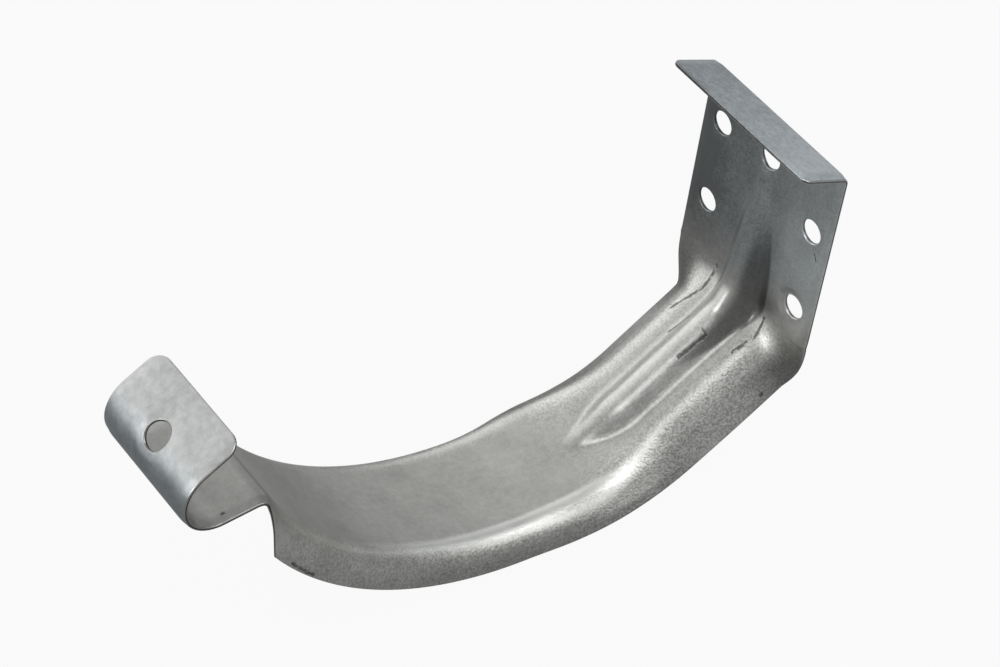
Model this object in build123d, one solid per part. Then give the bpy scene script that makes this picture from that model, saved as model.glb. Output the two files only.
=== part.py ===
"""Stamped gutter bracket: one sheet of galvanised steel, folded and pressed.

Millimetres. X points out from the wall, Z up, Y along the gutter. The back of the
nail plate lies on X = 0, and the origin is the middle of the nail hole group.
The part is symmetric about Y = 0 apart from the staggered nail holes.
"""
import os
from math import atan, cos, exp, radians, sin, tan

from build123d import *

# ---------------------------------------------------------------- sheet
SHEET = 1.2                # thickness of the steel sheet
PLATE_WIDTH = 37.0         # nail plate and lip, along Y
STRAP_WIDTH = 24.8         # hook strap, along Y

# ---------------------------------------------------------------- nail plate
PLATE_TOP = 22.1           # height of the lip fold above the origin
PLATE_BOTTOM = 21.2        # depth of the sharp corner below the origin
LIP_LENGTH = 10.8          # straight part of the lip
LIP_RADIUS = 1.5           # mid-sheet radius of the lip fold
LIP_TURN = 67.7            # degrees the lip is folded out of the plate
LIP_CORNER = 1.6           # rounding of the lip's free corners

NAIL_RADIUS = 2.4
NAIL_REACH = 13.4          # hole centre to the middle of the plate, along Y
NAIL_PITCH = 19.0          # between the two holes of one side, along Z
NAIL_STAGGER = 2.6         # the -Y holes sit this much high, the +Y ones as much low
TOP_NAIL_RISE = 14.3       # single hole in the middle, above the origin

# ---------------------------------------------------------------- arm and cradle
ARM_TURN = 58.0            # degrees between plate and arm at the lower corner
CORNER_RADIUS = 2.2        # inside radius of that corner
ARM_LENGTH = 20.2          # straight part of the arm, clear of the corner sections
FRONT_RADIUS = 39.0        # first curve of the cradle, mid-sheet
FRONT_TURN = 27.6
CRADLE_RADIUS = 74.7       # second curve of the cradle
CRADLE_TURN = 66.8

# ---------------------------------------------------------------- hook
HUMP_RADIUS = 3.4          # bend over the top of the hook's neck
HUMP_TURN = 66.1
NECK_FALL = 6.3            # straight part after the neck
CURL_RADIUS = 7.2          # hook curl
CURL_TURN = 154.0
FLAP_LENGTH = 7.7          # straight flap at the end of the curl
FLAP_CORNER = 3.0          # rounding of the flap's free corners
FLAP_HOLE_RADIUS = 2.5
FLAP_HOLE_SETBACK = 9.4    # hole centre to the free edge, along the sheet

# ---------------------------------------------------------------- side flanges
SHOULDER_FLAT = 6.1        # half width of the flat between the shoulders, near the plate
SHOULDER_BEND = 4.3        # length of sheet taken by the rounded shoulder
SHOULDER_TILT = 45.5       # slope of the flange there, degrees
CRADLE_FLAT = 9.9          # the same three values under the gutter
CRADLE_BEND = 5.5
CRADLE_TILT = 77.2
CRADLE_BLANK = 36.1        # developed width of the sheet under the gutter
FOLD_START = 0.5           # the flange starts to fold here, along the guide from the corner
FOLD_RUN = 7.4             # and has its full slope after this length
FOLD_EASE = 1.7            # above 1, most of the fold is taken in its first part
WIDEN_START = 23.7         # the flat between the shoulders widens from here
WIDEN_RUN = 26.3
STEEPEN_START = 41.2       # the flange steepens from here
STEEPEN_RUN = 19.5
NARROW_START = 10.0        # the blank narrows from here
NARROW_RUN = 35.0

# ---------------------------------------------------------------- stiffening rib
RIB_HALF = 5.7             # half width of the rib at its foot
RIB_TIP_HALF = 2.0         # half width where it fades out
RIB_RISE = 2.9             # height of the rib on the arm
GUSSET_RISE = 4.0          # height over the guide in the corner
GUSSET_RUN = 9.0           # how far that extra height reaches, each way
RIB_UP = 37.0              # reach of the rib up the plate, from the corner
RIB_UP_FADE = 30.0         # length over which it rises there
RIB_OUT = 44.0             # reach along the arm
RIB_OUT_FADE = 14.0
CORNER_FAN = 14.0          # radius of the guide along which sections turn in the corner
NEARLY_FLAT = 1e-9         # smallest slope, so that a flat sheet is still a bend

half_turn = radians(ARM_TURN) / 2
blank_half = PLATE_WIDTH / 2


# ---------------------------------------------------------------- small helpers
def ramp(value, start, length):
    """0 before start, 1 after start + length, smooth in between."""
    u = min(max((value - start) / length, 0.0), 1.0)
    return u * u * (3 - 2 * u)


def mix(first, second, share):
    return first + (second - first) * share


def heading(degrees):
    """Unit vector in the XZ plane: 0 along +X, 90 along +Z."""
    return Vector(cos(radians(degrees)), 0, sin(radians(degrees)))


def bend(start, direction, radius, degrees):
    """Arc that leaves start along direction; positive degrees turn it upwards from +X."""
    side = 90 if degrees > 0 else -90
    centre = start + heading(direction + side) * radius
    middle = centre + heading(direction - side + degrees / 2) * radius
    end = centre + heading(direction - side + degrees) * radius
    return ThreePointArc(start, middle, end), end, direction + degrees


# ---------------------------------------------------------------- guide
# Front of the plate, a wide arc across the corner, then the top of arm and cradle.
fan_tangent = CORNER_FAN * tan(half_turn)
fan_start = Vector(SHEET, 0, -PLATE_BOTTOM + fan_tangent)
rib_top = fan_start + Vector(0, 0, RIB_UP - CORNER_FAN * half_turn)
fan_arc, arm_start, arm_heading = bend(fan_start, -90, CORNER_FAN, ARM_TURN)
arm_end = arm_start + heading(arm_heading) * ARM_LENGTH
front_arc, cradle_start, cradle_heading = bend(
    arm_end, arm_heading, FRONT_RADIUS - SHEET / 2, FRONT_TURN
)
cradle_arc, neck_start, neck_heading = bend(
    cradle_start, cradle_heading, CRADLE_RADIUS - SHEET / 2, CRADLE_TURN
)
guide = Wire([Line(rib_top, fan_start), fan_arc, Line(arm_start, arm_end), front_arc, cradle_arc])
fan_half = CORNER_FAN * half_turn
cradle_length = radians(CRADLE_TURN) * (CRADLE_RADIUS - SHEET / 2)

# From here to the neck the section no longer changes, and turns about one axis.
steady = max(RIB_UP + STEEPEN_START + STEEPEN_RUN, guide.length - cradle_length)
cradle_middle = cradle_start + heading(cradle_heading + 90) * (CRADLE_RADIUS - SHEET / 2)
steady_turn = CRADLE_TURN * (guide.length - steady) / cradle_length


# ---------------------------------------------------------------- sheet section
def corner_depth(angle, facing, radius):
    """From the fan's pivot to a sheet face with a rounded corner, at an angle off its middle."""
    bend_centre = (facing - radius) / cos(half_turn)
    rounded = half_turn - atan((facing - radius) * tan(half_turn) / facing)
    if abs(angle) < rounded:
        across = bend_centre * sin(angle)
        return bend_centre * cos(angle) + (radius**2 - across**2) ** 0.5
    return facing / cos(half_turn - abs(angle))


def half_face(flat, fold_length, tilt, flange, foot, rise, offset):
    """One face of the sheet from its middle to the free edge: rib, flat, fold and flange."""
    shift = offset * tan(atan(1.5 * rise / foot) / 2)
    crest = Vector(0, rise + offset)
    rib_foot = Vector(foot + shift, offset)
    pull = Vector(0.45 * foot, 0)
    fold_start = Vector(flat, offset)
    radius = fold_length / tilt
    down = Vector(cos(tilt), -sin(tilt))
    chord = Vector(cos(tilt / 2), -sin(tilt / 2)) * (2 * (radius + offset) * sin(tilt / 2))
    fold_end = fold_start + chord
    handle = 4 / 3 * tan(tilt / 4) * (radius + offset)
    half_chord = Vector(cos(tilt / 4), -sin(tilt / 4)) * (2 * (radius + offset) * sin(tilt / 4))
    rib = [crest, crest + pull, rib_foot - pull, rib_foot]
    fold = [fold_start, fold_start + Vector(handle, 0), fold_end - down * handle, fold_end]
    return rib, fold, fold_start + half_chord, fold_end + down * flange


def section(distance):
    """Closed section of the sheet across the guide."""
    where = PositionMode.LENGTH
    at = guide.position_at(distance, position_mode=where)
    along = guide.tangent_at(distance, position_mode=where)
    plane = Plane(origin=at, x_dir=(0, 1, 0), z_dir=along)
    run = distance - RIB_UP

    top, bottom = 0.0, -SHEET
    angle = run / CORNER_FAN
    if abs(angle) < half_turn:
        top = CORNER_FAN - corner_depth(angle, CORNER_FAN, CORNER_RADIUS)
        bottom = CORNER_FAN - corner_depth(angle, CORNER_FAN + SHEET, CORNER_RADIUS + SHEET)
    middle = (top + bottom) / 2

    wide = ramp(run, WIDEN_START, WIDEN_RUN)
    flat = mix(SHOULDER_FLAT, CRADLE_FLAT, wide)
    fold_length = mix(SHOULDER_BEND, CRADLE_BEND, wide)
    slope = mix(SHOULDER_TILT, CRADLE_TILT, ramp(run, STEEPEN_START, STEEPEN_RUN))
    folded = min(max((run - FOLD_START) / FOLD_RUN, 0.0), 1.0)
    tilt = max(radians(slope) * (1 - (1 - folded) ** FOLD_EASE), NEARLY_FLAT)
    half_width = mix(blank_half, CRADLE_BLANK / 2, ramp(run, NARROW_START, NARROW_RUN))
    flange = half_width - flat - fold_length

    fade = ramp(run, -RIB_UP, RIB_UP_FADE) * (1 - ramp(run, RIB_OUT - RIB_OUT_FADE, RIB_OUT_FADE))
    foot = mix(RIB_TIP_HALF, RIB_HALF, fade)
    gusset = exp(-((run / GUSSET_RUN) ** 2)) * fade
    rise = RIB_RISE * fade + (GUSSET_RISE - RIB_RISE - top) * gusset

    edges = []
    tips = []
    for offset in ((top - bottom) / 2, (bottom - top) / 2):
        face = half_face(flat, fold_length, tilt, flange, foot, rise, offset)
        rib, fold, fold_crown, tip = face
        for mirror in (1, -1):
            def place(point):
                return plane.from_local_coords(Vector(mirror * point.X, point.Y + middle, 0))

            edges.append(Edge.make_line(place(tip), place(fold[3])))
            if distance > steady - 0.001:
                arc = [place(p) for p in (fold[3], fold_crown, fold[0])]
                edges.append(Edge.make_three_point_arc(*arc))
            else:
                edges.append(Edge.make_bezier(*[place(p) for p in reversed(fold)]))
            edges.append(Edge.make_line(place(fold[0]), place(rib[3])))
            edges.append(Edge.make_bezier(*[place(p) for p in reversed(rib)]))
            tips.append(place(tip))
    edges.append(Edge.make_line(tips[0], tips[2]))
    edges.append(Edge.make_line(tips[1], tips[3]))
    return Wire(edges)


def formed(start, stop, count):
    """The sheet between two places along the guide, through count + 1 sections."""
    sections = [section(start + (stop - start) * i / count) for i in range(count + 1)]
    return Solid.make_loft(sections)


cradle = formed(0, RIB_UP - fan_half, 5)
cradle += formed(RIB_UP - fan_half, RIB_UP + FOLD_START, 6)
cradle += formed(RIB_UP + FOLD_START, RIB_UP + fan_half, 6)
cradle += formed(RIB_UP + fan_half, steady, 12)
cradle += revolve(Face(section(steady)), Axis(cradle_middle, (0, -1, 0)), steady_turn)

# The flanges end in a cut parallel to the plate, right below the neck.
neck_under = neck_start + heading(neck_heading - 90) * SHEET
flange_reach = CRADLE_BLANK
wedge = Polyline(
    neck_under,
    neck_under + heading(neck_heading - 80) * flange_reach,
    neck_under + heading(-90) * flange_reach,
    close=True,
)
cradle -= extrude(make_face(wedge), PLATE_WIDTH, dir=(0, 1, 0), both=True)


# ---------------------------------------------------------------- plate, lip and hook
def strip(path, width):
    """The sheet along a path in the XZ plane."""
    start = Plane(origin=path @ 0, x_dir=(0, 1, 0), z_dir=path % 0)
    return sweep(start * Rectangle(width, SHEET), path=path)


plate_foot = Vector(SHEET / 2, 0, rib_top.Z)
plate_head = Vector(SHEET / 2, 0, PLATE_TOP)
lip_arc, lip_start, lip_heading = bend(plate_head, 90, LIP_RADIUS, -LIP_TURN)
lip_end = lip_start + heading(lip_heading) * LIP_LENGTH
plate = strip(Wire([Line(plate_foot, plate_head), lip_arc, Line(lip_start, lip_end)]), PLATE_WIDTH)

neck = neck_start + heading(neck_heading - 90) * (SHEET / 2)
hump_arc, fall_start, fall_heading = bend(neck, neck_heading, HUMP_RADIUS, -HUMP_TURN)
curl_start = fall_start + heading(fall_heading) * NECK_FALL
curl_arc, flap_start, flap_heading = bend(curl_start, fall_heading, CURL_RADIUS, CURL_TURN)
flap_end = flap_start + heading(flap_heading) * FLAP_LENGTH
hook_path = Wire([hump_arc, Line(fall_start, curl_start), curl_arc, Line(flap_start, flap_end)])
hook = strip(hook_path, STRAP_WIDTH)

bracket = cradle + plate + hook

# ---------------------------------------------------------------- holes
for side in (-1, 1):
    for level in (-NAIL_PITCH / 2, NAIL_PITCH / 2):
        centre = (0, side * NAIL_REACH, level - side * NAIL_STAGGER)
        bracket -= Plane(origin=centre, z_dir=(1, 0, 0)) * Cylinder(NAIL_RADIUS, 4 * SHEET)
top_nail = Plane(origin=(0, 0, TOP_NAIL_RISE), z_dir=(1, 0, 0))
bracket -= top_nail * Cylinder(NAIL_RADIUS, 4 * SHEET)
flap_hole = flap_end - heading(flap_heading) * FLAP_HOLE_SETBACK
flap_face = Plane(origin=flap_hole, z_dir=heading(flap_heading + 90))
bracket -= flap_face * Cylinder(FLAP_HOLE_RADIUS, 4 * SHEET)


# ---------------------------------------------------------------- rounded free corners
def corner_edges(shape, middle, width):
    """The two short edges at the free corners of a strip's end."""
    short = [e for e in shape.edges().filter_by(GeomType.LINE) if abs(e.length - SHEET) < 0.01]
    corners = [middle + Vector(0, side * width / 2, 0) for side in (-1, 1)]
    return [e for e in short for corner in corners if (e.center() - corner).length < SHEET / 4]


bracket = fillet(corner_edges(bracket, lip_end, PLATE_WIDTH), LIP_CORNER)
bracket = fillet(corner_edges(bracket, flap_end, STRAP_WIDTH), FLAP_CORNER)

os.makedirs("parts", exist_ok=True)
export_step(bracket, "parts/bracket.step")
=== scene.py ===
from math import asin, atan, cos, degrees, exp, hypot, radians, sin, tan

import bpy
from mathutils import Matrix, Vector
from mathutils.kdtree import KDTree


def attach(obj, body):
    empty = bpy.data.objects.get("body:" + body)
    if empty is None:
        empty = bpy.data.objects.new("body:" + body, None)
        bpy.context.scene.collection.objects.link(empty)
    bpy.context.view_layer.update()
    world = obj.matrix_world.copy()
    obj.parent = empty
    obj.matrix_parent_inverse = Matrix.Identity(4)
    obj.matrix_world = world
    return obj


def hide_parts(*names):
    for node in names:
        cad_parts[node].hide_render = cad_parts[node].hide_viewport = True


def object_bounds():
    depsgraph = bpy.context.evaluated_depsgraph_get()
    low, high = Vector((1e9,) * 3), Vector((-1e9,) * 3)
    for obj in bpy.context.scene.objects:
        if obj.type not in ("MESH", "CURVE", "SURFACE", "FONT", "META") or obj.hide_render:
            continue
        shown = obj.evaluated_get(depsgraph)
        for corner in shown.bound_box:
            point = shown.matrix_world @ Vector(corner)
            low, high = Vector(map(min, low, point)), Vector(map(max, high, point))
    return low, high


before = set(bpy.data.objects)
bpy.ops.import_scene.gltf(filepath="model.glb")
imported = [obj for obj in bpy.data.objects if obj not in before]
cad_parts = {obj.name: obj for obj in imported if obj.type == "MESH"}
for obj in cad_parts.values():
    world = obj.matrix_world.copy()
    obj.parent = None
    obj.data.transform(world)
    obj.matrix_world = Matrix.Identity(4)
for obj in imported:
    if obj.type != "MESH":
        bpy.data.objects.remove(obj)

cad_box = [list(corner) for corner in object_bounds()]
scene = bpy.context.scene


# Studio. A pale table runs out of sight on every side. It looks white to the
# camera, keeps a faint shadow, and gives the steel a soft grey to mirror.

scene.view_settings.view_transform = "Standard"
table_size = 3.0
table_middle = 0.06
table_gap = 0.0001
table_level = cad_box[0][2] - table_gap
bpy.ops.object.select_all(action="DESELECT")
bpy.ops.mesh.primitive_plane_add(size=table_size, location=(table_middle, 0, table_level))
table = bpy.context.object
table.name = "table"
bpy.ops.object.transform_apply(location=True)


class Wire:
    """One output of a node. Sums, differences and products of it add Math nodes."""

    def __init__(self, tree, socket=None):
        self.tree = tree
        self.socket = socket

    def node(self, kind, settings, inputs, output=0):
        """One output of a new node, from its type, its settings and what its sockets get."""
        made = self.tree.nodes.new("ShaderNode" + kind)
        for name, value in settings.items():
            setattr(made, name, value)
        for name, value in inputs.items():
            if isinstance(value, Wire):
                value.into(made.inputs[name])
            else:
                made.inputs[name].default_value = value
        return Wire(self.tree, made.outputs[output])

    def into(self, socket):
        self.tree.links.new(self.socket, socket)

    def math(self, operation, *values):
        return self.node("Math", {"operation": operation}, dict(enumerate(values)))

    def step(self, start, end):
        """0 on the side of start, 1 past end, smooth in between."""
        sizes = {"Value": self, "From Min": start, "From Max": end}
        return self.node("MapRange", {"interpolation_type": "SMOOTHSTEP"}, sizes)

    def window(self, start, full, fade, end):
        """1 from full to fade, 0 before start and past end."""
        return self.step(start, full) * (1 - self.step(fade, end))

    def __add__(self, other):
        return self.math("ADD", self, other)

    def __sub__(self, other):
        return self.math("SUBTRACT", self, other)

    def __rsub__(self, other):
        return self.math("SUBTRACT", other, self)

    def __mul__(self, other):
        return self.math("MULTIPLY", self, other)

    __radd__ = __add__
    __rmul__ = __mul__


# In the steel the table mirrors a painted glow: a painted shadow under the bracket, a
# little more glow on the near side of it, and bright far behind it.
camera_white = 0.94
least_mirrored, near_mirrored, far_mirrored = 0.10, 0.12, 0.85
table_paint = bpy.data.materials.new("table_paint")
table_paint.use_nodes = True
paint_nodes = table_paint.node_tree.nodes
paint_nodes.remove(paint_nodes["Principled BSDF"])
paint = Wire(table_paint.node_tree)
camera_ray = paint.node("LightPath", {}, {}, "Is Camera Ray")
glossy_ray = paint.node("LightPath", {}, {}, "Is Glossy Ray")
spot = paint.node("TexCoord", {}, {}, "Object")
nearness = paint.node("SeparateXYZ", {}, {0: spot}, "Y")
glow = least_mirrored + near_mirrored * nearness.step(0.02, 0.06)
glow = glow + far_mirrored * nearness.step(-0.06, -0.36)
glow = camera_white * camera_ray + glow * glossy_ray
shadowed = paint.node("BsdfDiffuse", {}, {"Color": (0.25, 0.25, 0.25, 1)})
white = paint.node("Emission", {}, {"Strength": 1.0})
blend = paint.node("MixShader", {}, {"Fac": glow, 1: shadowed, 2: white})
blend.into(paint_nodes["Material Output"].inputs["Surface"])
table.data.materials.append(table_paint)

# The room: a bright wall behind the bracket and a darker side behind the camera, with a
# ceiling a little below full light and a dim end past the plate.
far_wall, near_wall = 1.35, 0.42
ceiling, dim_end = 0.72, 0.5
room = bpy.data.worlds.new("room")
scene.world = room
room.use_nodes = True
background = room.node_tree.nodes["Background"]
background.inputs["Color"].default_value = (1, 1, 1, 1)
air = Wire(room.node_tree)
toward = air.node("TexCoord", {}, {}, "Generated")
nearer = air.node("SeparateXYZ", {}, {0: toward}, "Y").step(-1.0, 0.35)
higher = air.node("SeparateXYZ", {}, {0: toward}, "Z").step(0.1, 0.9)
past_end = air.node("SeparateXYZ", {}, {0: toward}, "X").step(-0.45, -0.9)
light = far_wall - (far_wall - near_wall) * nearer
light = light * (1 - (1 - ceiling) * higher) * (1 - (1 - dim_end) * past_end)
light.into(background.inputs["Strength"])

# Two long softboxes hang over the near side, and a small one stands past the hook. All
# look at the bracket's middle. Each has a name, place, length, width and power.
middle = Vector((0.06, 0.0, -0.01))
softboxes = (
    ("overhead_softbox", (0.08, 0.31, 0.72), 0.8, 0.32, 1.7),
    ("right_softbox", (-0.46, 0.46, 0.55), 0.6, 0.34, 1.7),
    ("left_softbox", (0.88, 0.03, 0.25), 0.25, 0.25, 1.6),
)
for name, stand, length, width, power in softboxes:
    bpy.ops.object.light_add(type="AREA", location=stand)
    lamp = bpy.context.object
    lamp.name = name
    lamp.data.shape = "RECTANGLE"
    lamp.data.size = length
    lamp.data.size_y = width
    lamp.data.energy = power
    lamp.rotation_euler = (middle - Vector(stand)).to_track_quat("-Z", "Y").to_euler()

# Camera: a long lens looks down on the bracket from the near left.
bpy.ops.object.camera_add(location=(0.308400, 0.278670, 0.372026))
camera = bpy.context.object
camera.rotation_euler = (radians(44.761), radians(-5.823), radians(144.064))
camera.data.sensor_width = 36
camera.data.lens = 109.148
camera.data.clip_start = 0.01
scene.camera = camera


# Bracket. One strap of zinc-coated steel sheet, cut and pierced flat, then pressed
# into lip, ribbed corner, flanged cradle and front hook. Nails through its plate hold
# it to a wall board. The sizes here are millimetres.

mm = 0.001
sheet = 1.2

# Bends of the line down the middle of the front face, from the lip's free edge to the
# flap's. At the corner the cross-sections fan out round a point in front of it.
fan, corner_turn, corner_inside, eased = 14.0, 58.0, 7.0, 5.0
half_turn, eased_turn = radians(corner_turn / 2), degrees(eased / fan)
lip_radius, lip_turn = 0.9, 67.7
front_radius, front_turn = 38.4, 27.6
cradle_radius, cradle_turn = 74.1, 66.8
neck_radius, neck_turn = 4.0, 66.1
curl_radius, curl_turn = 6.6, 154.0
bends = {
    # length, degrees it turns, rows of cells
    "lip": (10.8, 0, 22),
    "lip fold": (lip_radius * radians(lip_turn), lip_turn, 8),
    "plate": (35.54, 0, 71),
    "into corner": (eased, eased_turn, 10),
    "corner": (2 * (fan * half_turn - eased), corner_turn - 2 * eased_turn, 28),
    "out of corner": (eased, eased_turn, 10),
    "arm": (20.2, 0, 40),
    "front curve": (front_radius * radians(front_turn), front_turn, 37),
    "cradle": (cradle_radius * radians(cradle_turn), cradle_turn, 170),
    "neck": (neck_radius * radians(neck_turn), -neck_turn, 12),
    "fall": (6.3, 0, 12),
    "curl": (curl_radius * radians(curl_turn), curl_turn, 40),
    "flap": (7.7, 0, 16),
}


def mix(first, second, share):
    return first + (second - first) * share


def ramp(value, start, length):
    u = min(max((value - start) / length, 0.0), 1.0)
    return u * u * (3 - 2 * u)


def onward(at, facing, length, turn):
    """End of an arc that leaves a point of the XZ plane, and its direction there."""
    half = turn / 2
    chord = length * (sin(half) / half if half else 1.0)
    return at + Vector((cos(facing + half), sin(facing + half))) * chord, facing + turn


# The line starts in a direction that makes the plate upright, and it is moved onto the
# wall afterwards. The faces of plate and arm would meet corner_drop below the origin.
corner_drop = 21.2
starts = {}
rows = []
blank_end, at, facing = 0.0, Vector((0, 0)), radians(-90 - lip_turn)
for name, (length, turn, cells) in bends.items():
    starts[name] = (blank_end, at, facing, length, radians(turn))
    rows += [blank_end + length * cell / cells for cell in range(cells)]
    at, facing = onward(at, facing, length, radians(turn))
    blank_end += length
rows.append(blank_end)
corner_top = fan * tan(half_turn) - corner_drop
onto_wall = Vector((sheet, corner_top)) - starts["into corner"][1]
corner = starts["into corner"][0] + fan * half_turn
neck = starts["neck"][0]


def front_line(distance):
    """Place and direction of the front face's line in the XZ plane."""
    for start, at, facing, length, turn in reversed(starts.values()):
        if distance >= start:
            break
    part = distance - start
    return onward(at + onto_wall, facing, part, turn * part / length)


def corner_depth(angle, face, radius):
    """From the corner's pivot to a face of the bent sheet."""
    centre = (face - radius) / cos(half_turn)
    rounded = half_turn - atan((face - radius) * tan(half_turn) / face)
    if abs(angle) < rounded:
        return centre * cos(angle) + (radius**2 - (centre * sin(angle)) ** 2) ** 0.5
    return face / cos(half_turn - abs(angle))


# Cross-sections change with the run, which is the way along the blank from the corner.
# The flanges fold down beside a flat middle, gently on the arm, steeply on the cradle.
arm_flat, arm_fold, arm_slope = 6.1, 4.3, 45.5
cradle_flat, cradle_fold, cradle_slope = 9.9, 5.5, 77.2
fold_from, folding, fold_ease = -3.5, 10.5, 2.2
steepen_from, steepening = 41.2, 19.5
neck_reach, unfolding = 0.4, 3.5
wing_end, wing_width, wing_blend = 12.0, 10.4, 0.7


def fold_angle(run, height):
    """Slope of the flanges. Beside the corner their tips lie along the wall."""
    slope = radians(mix(arm_slope, cradle_slope, ramp(run, steepen_from, steepening)))
    folded = min(max((run - fold_from) / folding, 0.0), 1.0)
    tilt = slope * (1 - (1 - folded) ** fold_ease)
    tilt *= 1 - ramp(run, neck - corner - neck_reach, unfolding)
    if fold_from < run < wing_end:
        at, facing = front_line(corner + run)
        room_behind = at.x / -sin(facing) + height - sheet / 2
        limit = asin(min(max(room_behind, 0.0) / wing_width, 1.0))
        share = min(max(0.5 + (limit - tilt) / wing_blend, 0.0), 1.0)
        tilt = max(mix(limit, tilt, share) - wing_blend / 2 * share * (1 - share), 0.0)
    return tilt


# The rib: half width at its ends and over the corner, height, and how much more it
# fills the corner. Its side is an S curve that starts and ends level. The arm's flat
# middle widens into the cradle's where the rib sinks away.
rib_tip, rib_half, rib_height, rib_lift = 2.0, 5.7, 2.9, 1.1
rib_handle = 0.45
rib_from, rib_rising, rib_to, rib_sinking = -37.0, 30.0, 30.0, 14.0
lift_reach = 9.0
widen_from, widening = 23.7, 26.3


def rib_place(share):
    """Where on the rib's S curve this share of its half width is reached."""
    first, second, third = 3 * rib_handle, 3 - 9 * rib_handle, 6 * rib_handle - 2
    u = share
    for _ in range(4):
        missed = u * (first + u * (second + third * u)) - share
        u -= missed / (first + u * (2 * second + 3 * third * u))
    return u


def section(run, across):
    """Y of the sheet's middle, and its height over the front line, at a run from the corner."""
    side = abs(across)
    wide = ramp(run, widen_from, widening)
    flat = mix(arm_flat, cradle_flat, wide)
    fold = mix(arm_fold, cradle_fold, wide)
    top, height = 0.0, -sheet / 2
    if abs(run) < fan * half_turn:
        top = fan - corner_depth(run / fan, fan, corner_inside)
        height = fan - corner_depth(run / fan, fan + sheet / 2, corner_inside + sheet / 2)
    tilt = fold_angle(run, height)

    fade = ramp(run, rib_from, rib_rising) * (1 - ramp(run, rib_to, rib_sinking))
    foot = mix(rib_tip, rib_half, fade)
    if side < foot:
        u = rib_place(side / foot)
        rise = rib_height + (rib_lift - top) * exp(-((run / lift_reach) ** 2))
        height += rise * fade * (1 - u * u * (3 - 2 * u))
    if side > flat and tilt > 0.001:
        radius = fold / tilt
        turned = min((side - flat) / radius, tilt)
        straight = max(side - flat - fold, 0.0)
        side = flat + radius * sin(turned) + straight * cos(tilt)
        height -= radius * (1 - cos(turned)) + straight * sin(tilt)
    return (side if across > 0 else -side), height


# Half widths of the blank at the plate, along the cradle and at the hook's strap, and
# the columns of cells over half the strap and over a flange beside it.
plate_side, cradle_side, strap_side = 18.5, 18.05, 12.4
narrow_from, narrowing = 10.0, 35.0
strap_cells, flange_cells = 25, 12
columns = strap_cells + flange_cells


def column_side(column):
    side = abs(column) / strap_cells * strap_side
    if abs(column) > strap_cells:
        side = mix(strap_side, plate_side, (abs(column) - strap_cells) / flange_cells)
    return side if column > 0 else -side


# The flanges stop at a cut parallel to the plate, right below the neck. From lean_start
# on, their rows of cells lean towards it.
lean_start = corner + 60.7
before_neck = 1.0
neck_at, neck_facing = front_line(neck)
cut_x = neck_at.x + sheet * sin(neck_facing)
cradle_x = neck_at.x - cradle_radius * sin(neck_facing)

# Holes: distance along the blank, place across it, radius. The nail holes lie round the
# origin's height, and the near column sits lower than the far one.
plate_middle = starts["into corner"][0] + corner_top
nail_side, nail_hole, flap_hole = 13.4, 2.4, 2.5
holes = [
    (plate_middle - 14.3, 0.0, nail_hole),
    (plate_middle - 12.1, -nail_side, nail_hole),
    (plate_middle - 6.9, nail_side, nail_hole),
    (plate_middle + 6.9, -nail_side, nail_hole),
    (plate_middle + 12.1, nail_side, nail_hole),
    (blank_end - 9.26, 0.0, flap_hole),
]
hole_ring = 4
hole_cells = []
for distance, across, radius in holes:
    row = min(range(len(rows)), key=lambda r: abs(rows[r] - distance))
    column = min(range(-columns, columns + 1), key=lambda c: abs(column_side(c) - across))
    hole_cells.append((row, column))

# The blank's two ends: distance, way inwards, half width, radius of the corners.
ends = ((0.0, 1, plate_side, 1.6), (blank_end, -1, strap_side, 3.0))


def blank_point(row, column):
    """Place of a grid point on the flat blank: distance along it, and across it."""
    distance, across = rows[row], column_side(column)
    sign = 1 if column > 0 else -1
    side = abs(across)
    if side > strap_side:
        narrow = ramp(distance - corner, narrow_from, narrowing)
        narrowed = mix(plate_side, cradle_side, narrow)
        side = mix(strap_side, narrowed, (side - strap_side) / (plate_side - strap_side))
        if distance > lean_start:
            height = section(neck - corner - before_neck, side)[1]
            lean = neck_facing - asin((cut_x - cradle_x) / (cradle_radius - height))
            cut = neck - cradle_radius * lean
            distance = mix(lean_start, cut, (distance - lean_start) / (neck - lean_start))
        across = sign * side

    for end, inward, half_width, radius in ends:
        along = radius - abs(distance - end)
        out = radius - half_width + side
        if along > 0 and out > 0:
            pull = max(along, out) / hypot(along, out)
            distance = end + inward * (radius - along * pull)
            across = sign * (half_width - radius + out * pull)

    for (hole_row, hole_column), (hole_at, hole_across, radius) in zip(hole_cells, holes):
        steps = Vector((row - hole_row, column - hole_column))
        ring = max(abs(steps.x), abs(steps.y))
        if 0 < ring < 2 * hole_ring:
            rim = steps.normalized() * radius
            share = max(ring - hole_ring, 0) / hole_ring
            spread = 2 * hole_ring / ring
            outer_at = mix(rows[hole_row], distance, spread)
            outer_across = mix(column_side(hole_column), across, spread)
            distance = mix(hole_at + rim.x, outer_at, share)
            across = mix(hole_across + rim.y, outer_across, share)
    return distance, across


bpy.ops.object.select_all(action="DESELECT")
bpy.ops.mesh.primitive_grid_add(x_subdivisions=len(rows) - 1, y_subdivisions=2 * columns, size=2)
bracket = bpy.context.object
bracket.name = "bracket_steel"
grid = bracket.data


def grid_place(co):
    return (co.x + 1) / 2 * (len(rows) - 1), co.y * columns


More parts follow.
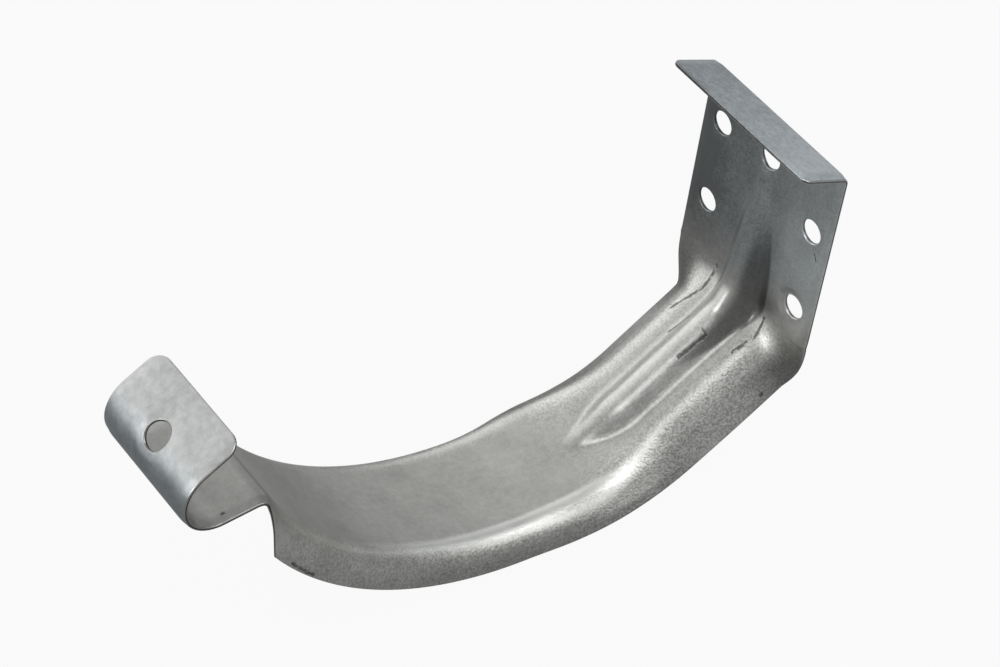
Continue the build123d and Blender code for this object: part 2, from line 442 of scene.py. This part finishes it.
# Shearing and piercing: the cells beside the hook's strap and in the holes go.
last_cradle_row = rows.index(neck)
bpy.ops.object.mode_set(mode="EDIT")
bpy.ops.mesh.select_mode(type="FACE")
bpy.ops.mesh.select_all(action="DESELECT")
bpy.ops.object.mode_set(mode="OBJECT")
for cell in grid.polygons:
    row, column = grid_place(cell.center)
    beside_strap = row > last_cradle_row and abs(column) > strap_cells
    in_hole = any(max(abs(row - r), abs(column - c)) < hole_ring for r, c in hole_cells)
    cell.select = beside_strap or in_hole
bpy.ops.object.mode_set(mode="EDIT")
bpy.ops.mesh.delete(type="FACE")
bpy.ops.object.mode_set(mode="OBJECT")

# Pressing. Each point keeps its run and its place across the blank for the steel's
# pattern, how far it was drawn, and whether it belongs to the plate or to the rib's top, which gets a
# painted highlight.
grid.attributes.new("blank", "FLOAT_VECTOR", "POINT")
grid.attributes.new("worked", "FLOAT_VECTOR", "POINT")
blank, worked = grid.attributes["blank"], grid.attributes["worked"]
for vertex in grid.vertices:
    row, column = grid_place(vertex.co)
    distance, across = blank_point(round(row), round(column))
    run, side = distance - corner, abs(across)
    at, facing = front_line(distance)
    y, height = section(run, across)
    vertex.co = Vector((at.x - sin(facing) * height, y, at.y + cos(facing) * height)) * mm
    blank.data[vertex.index].vector = (run, across, 0)

    shoulder = ramp(run, -6.0, 12.0) * (1 - ramp(run, 36.0, 14.0))
    shoulder *= mix(0.35, 1.0, ramp(side, 5.0, 5.0))
    flange = ramp(run, 0.0, 10.0) * (1 - ramp(run, 118.0, 14.0)) * ramp(side, 8.0, 7.0)
    plate = 1 - ramp(run, -16.0, 16.0)
    rib_top = ramp(run, -16.0, 16.0) * (1 - ramp(run, 28.0, 7.0)) * (1 - ramp(side, 0.5, 2.6))
    worked.data[vertex.index].vector = (max(shoulder, flange), plate, rib_top)

# The shears roll the cut edges over, so the sheet keeps only rim_share of its thickness
# at a cut edge and reaches all of it rim_reach further in.
rim_reach, rim_share, rim_round = 2.0, 0.6, 0.24
used = {}
for cell in grid.polygons:
    for key in cell.edge_keys:
        used[key] = used.get(key, 0) + 1
cut_points = {index for key, count in used.items() if count == 1 for index in key}
tree = KDTree(len(cut_points))
for index in cut_points:
    tree.insert(grid.vertices[index].co, index)
tree.balance()
from_cut = [tree.find(vertex.co)[2] / mm for vertex in grid.vertices]
inside = bracket.vertex_groups.new(name="inside")
for index, distance in enumerate(from_cut):
    inside.add([index], ramp(distance, 0.0, rim_reach), "REPLACE")

# Wrinkles and scratches on the blank: start, end, width. The press tore the zinc beside
# the corner. The rest are a scratch beside a nail hole, a spot of dirt on the near wing,
# a speck in the hook and a rub on a flange.
wrinkles = (
    ((-2.2, -7.2), (3.5, -6.9), 0.5),
    ((3.5, -6.9), (9.4, -8.6), 0.42),
    ((7.9, -3.3), (13.2, -4.5), 0.3),
    ((8.4, 1.2), (8.8, 2.0), 0.42),
    ((8.8, 2.0), (15.5, 1.6), 0.42),
    ((-1.1, 7.5), (2.8, 8.3), 0.42),
    ((4.4, 7.7), (7.4, 7.3), 0.42),
    ((-23.8, 15.5), (-22.5, 16.4), 0.3),
    ((8.5, 16.9), (8.9, 17.0), 0.6),
    ((142.4, 10.8), (142.6, 10.8), 0.45),
    ((112.5, 17.5), (119.5, 17.3), 0.5),
)


def scratch(flat, start, end, width):
    """1 on a straight scratch over the flat blank, 0 beside it."""
    along = (end[0] - start[0], end[1] - start[1], 0.0)
    squared = along[0] ** 2 + along[1] ** 2
    away = flat.node("VectorMath", {"operation": "SUBTRACT"}, {0: flat, 1: (*start, 0.0)})
    share = flat.node("VectorMath", {"operation": "DOT_PRODUCT"}, {0: away, 1: along}, "Value")
    share = flat.node("Math", {"operation": "DIVIDE", "use_clamp": True}, {0: share, 1: squared})
    beside = flat.node("VectorMath", {"operation": "SCALE"}, {0: along, "Scale": share})
    gap = flat.node("VectorMath", {"operation": "DISTANCE"}, {0: away, 1: beside}, "Value")
    return 1 - gap.step(0.25 * width, width)


def steel(name, dark, bright, roughness, outside, marks):
    """Zinc-coated steel: cloudy spangle, fine grain, coarser speckle where it was drawn.

    outside is 0.0 on the face that the punch rubbed, and 1.0 on the others.
    """
    material = bpy.data.materials.new(name)
    material.use_nodes = True
    shader = material.node_tree.nodes["Principled BSDF"]
    wire = Wire(material.node_tree)
    place = wire.node("TexCoord", {}, {}, "Object")
    place = wire.node("VectorMath", {"operation": "SCALE"}, {0: place, "Scale": 1 / mm})
    worked = wire.node("Attribute", {"attribute_name": "worked"}, {}, "Vector")
    drawn = wire.node("SeparateXYZ", {}, {0: worked}, "X")
    plate = wire.node("SeparateXYZ", {}, {0: worked}, "Y")
    rib_top = wire.node("SeparateXYZ", {}, {0: worked}, "Z")
    blank = wire.node("Attribute", {"attribute_name": "blank"}, {}, "Vector")
    run = wire.node("SeparateXYZ", {}, {0: blank}, "X")
    across = wire.node("SeparateXYZ", {}, {0: blank}, "Y")
    side = wire.math("ABSOLUTE", across)

    def noise(vector, scale, detail, output=0):
        return wire.node("TexNoise", {}, {"Vector": vector, "Scale": scale, "Detail": detail}, output)

    cloud = noise(place, 0.16, 4.0) - 0.5
    patch = noise(place, 0.8, 3.0)
    grain = noise(place, 2.3, 5.0).step(0.3, 0.7)
    lines = wire.node("CombineXYZ", {}, {0: 0.15 * run, 1: 2.0 * across})
    streak = noise(lines, 1.0, 3.0) - 0.5

    # Places that get painted shade or painted highlight, and the curl with its blue tint, by run and
    # by the way across.
    punched = 1.0 - outside
    # Painted shade on the rib's near flank, from the plate onto the arm.
    rib_foot = 7.0 - 0.0075 * (run + 2.0) * (run + 2.0) - 1.8 * run.step(-2.0, 6.0)
    flank_shade = across.step(0.6, 2.4) * (1 - (across - rib_foot).step(-0.6, 0.2))
    flank_shade = punched * flank_shade * run.window(-25.0, -12.0, 6.0, 24.0)
    # Painted shade on both wings of the corner.
    wing_shade = punched * side.step(10.5, 15.0) * run.window(-3.0, 2.0, 5.0, 15.0)
    # Painted highlight along the crown of the near fold, from the front curve into the cradle.
    crown_highlight = 1 - wire.math("ABSOLUTE", across - 10.7).step(0.2, 1.7)
    crown_highlight = punched * crown_highlight * run.window(32.0, 42.0, 60.0, 105.0)
    # Painted shade low on both flanges along the front curve.
    skirt_shade = punched * side.step(11.8, 13.8) * run.window(20.0, 32.0, 46.0, 58.0)
    # Painted light on the plate's near side, low down, and painted shade on its far side.
    near_plate_light = punched * across.step(5.5, 9.0) * run.window(-36.0, -18.0, -7.0, 0.0)
    far_plate_shade = punched * (1 - across.step(-15.0, -7.0)) * (1 - run.step(-2.0, 2.0))
    # Painted highlight on the drawn shoulders beside the rib, which also get more speckle.
    highlit_shoulders = drawn * (1 - side.step(10.5, 13.5))
    # Painted shade over the hook, a little stronger on its outer faces.
    hook_shade = run.window(126.0, 134.0, 155.5, 160.0)
    curl = outside * run.window(138.0, 142.0, 155.0, 161.0)

    # Marks wander off their straight lines and break up.
    marked = 0.0
    if marks:
        wobble = noise(place, 1.1, 3.0, "Color")
        wobble = wire.node("VectorMath", {"operation": "SUBTRACT"}, {0: wobble, 1: (0.5, 0.5, 0.5)})
        wobble = wire.node("VectorMath", {"operation": "SCALE"}, {0: wobble, "Scale": 0.7})
        flat = wire.node("CombineXYZ", {}, {0: run, 1: across})
        flat = wire.node("VectorMath", {"operation": "ADD"}, {0: flat, 1: wobble})
        for start, end, width in marks:
            marked = scratch(flat, start, end, width) + marked
        marked = wire.math("MINIMUM", marked, 1.0) * patch.step(0.25, 0.5)

    # The shade adds painted highlights on the rib's top, the shoulders and the fold's crown, painted
    # light and shade on the plate, and the spangle, grain, speckle and streaks.
    shade = 0.5 + 0.35 * cloud + (0.3 + 0.3 * outside) * (patch - 0.5)
    shade = shade + 0.22 * punched * rib_top + 0.28 * highlit_shoulders + 0.8 * crown_highlight
    shade = shade + (0.08 + 0.14 * plate + 0.34 * drawn + 0.16 * highlit_shoulders) * (grain - 0.5)
    # The plate gets painted shade, darkest on its far side and lightest on its near side.
    shade = shade + plate * (0.017 * across - 0.19) + 0.26 * near_plate_light - 0.16 * far_plate_shade
    shade = shade + 0.12 * (1 - plate) * streak
    tone = wire.node("Mix", {"data_type": "RGBA"}, {6: dark, 7: bright, 0: shade}, 2)
    blue = wire.node("VectorMath", {"operation": "MULTIPLY"}, {0: tone, 1: (0.92, 0.99, 1.05)})
    tint = wire.math("MAXIMUM", plate, curl)
    tone = wire.node("Mix", {"data_type": "RGBA"}, {6: tone, 7: blue, 0: tint}, 2)
    # Painted shade scales the colour down on the flank, the wings, the skirts and the hook, the crown
    # gets more painted highlight, and the marks darken it.
    light = (1 - 0.62 * flank_shade) * (1 - 0.45 * wing_shade) * (1 - 0.3 * skirt_shade) * (1 + 0.3 * crown_highlight)
    light = light * (1 - (0.30 + 0.05 * outside) * hook_shade) * (1 - 0.65 * marked)
    tone = wire.node("VectorMath", {"operation": "SCALE"}, {0: tone, "Scale": light})
    tone.into(shader.inputs["Base Color"])

    shader.inputs["Metallic"].default_value = 1.0
    rough = roughness + 0.12 * cloud + (0.04 + 0.1 * drawn) * (grain - 0.5)
    rough = rough + 0.06 * drawn + 0.2 * marked
    rough.into(shader.inputs["Roughness"])
    relief = (0.05 + 0.7 * drawn) * grain - 3.0 * marked
    bump = wire.node("Bump", {}, {"Strength": 0.5, "Distance": 0.06 * mm, "Height": relief})
    bump.into(shader.inputs["Normal"])
    return material


pressed_dark, pressed_bright = (0.22, 0.22, 0.21, 1), (0.76, 0.76, 0.735, 1)
outer_dark, outer_bright = (0.32, 0.33, 0.33, 1), (0.82, 0.83, 0.82, 1)
cut_dark, cut_bright = (0.05, 0.045, 0.04, 1), (0.22, 0.20, 0.18, 1)
pressed_face = steel("pressed_face", pressed_dark, pressed_bright, 0.34, 0.0, wrinkles)
outer_face = steel("outer_face", outer_dark, outer_bright, 0.40, 1.0, ())
cut_edge = steel("cut_edge", cut_dark, cut_bright, 0.5, 1.0, ())
for finish in (pressed_face, outer_face, cut_edge):
    bracket.data.materials.append(finish)

bpy.ops.object.modifier_add(type="SOLIDIFY")
thicken = bracket.modifiers["Solidify"]
thicken.thickness = sheet * mm
thicken.offset = 0
thicken.vertex_group = "inside"
thicken.thickness_vertex_group = rim_share
thicken.use_even_offset = True
thicken.use_quality_normals = True
thicken.material_offset = 1
thicken.material_offset_rim = 2
bpy.ops.object.modifier_apply(modifier="Solidify")
bpy.ops.object.modifier_add(type="BEVEL")
rounding = bracket.modifiers["Bevel"]
rounding.width = rim_round * mm
rounding.segments = 3
rounding.material = 0
rounding.limit_method = "ANGLE"
rounding.angle_limit = radians(50)
bpy.ops.object.modifier_apply(modifier="Bevel")
bpy.ops.object.shade_smooth_by_angle(angle=radians(60))
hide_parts("bracket")
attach(bracket, "root")
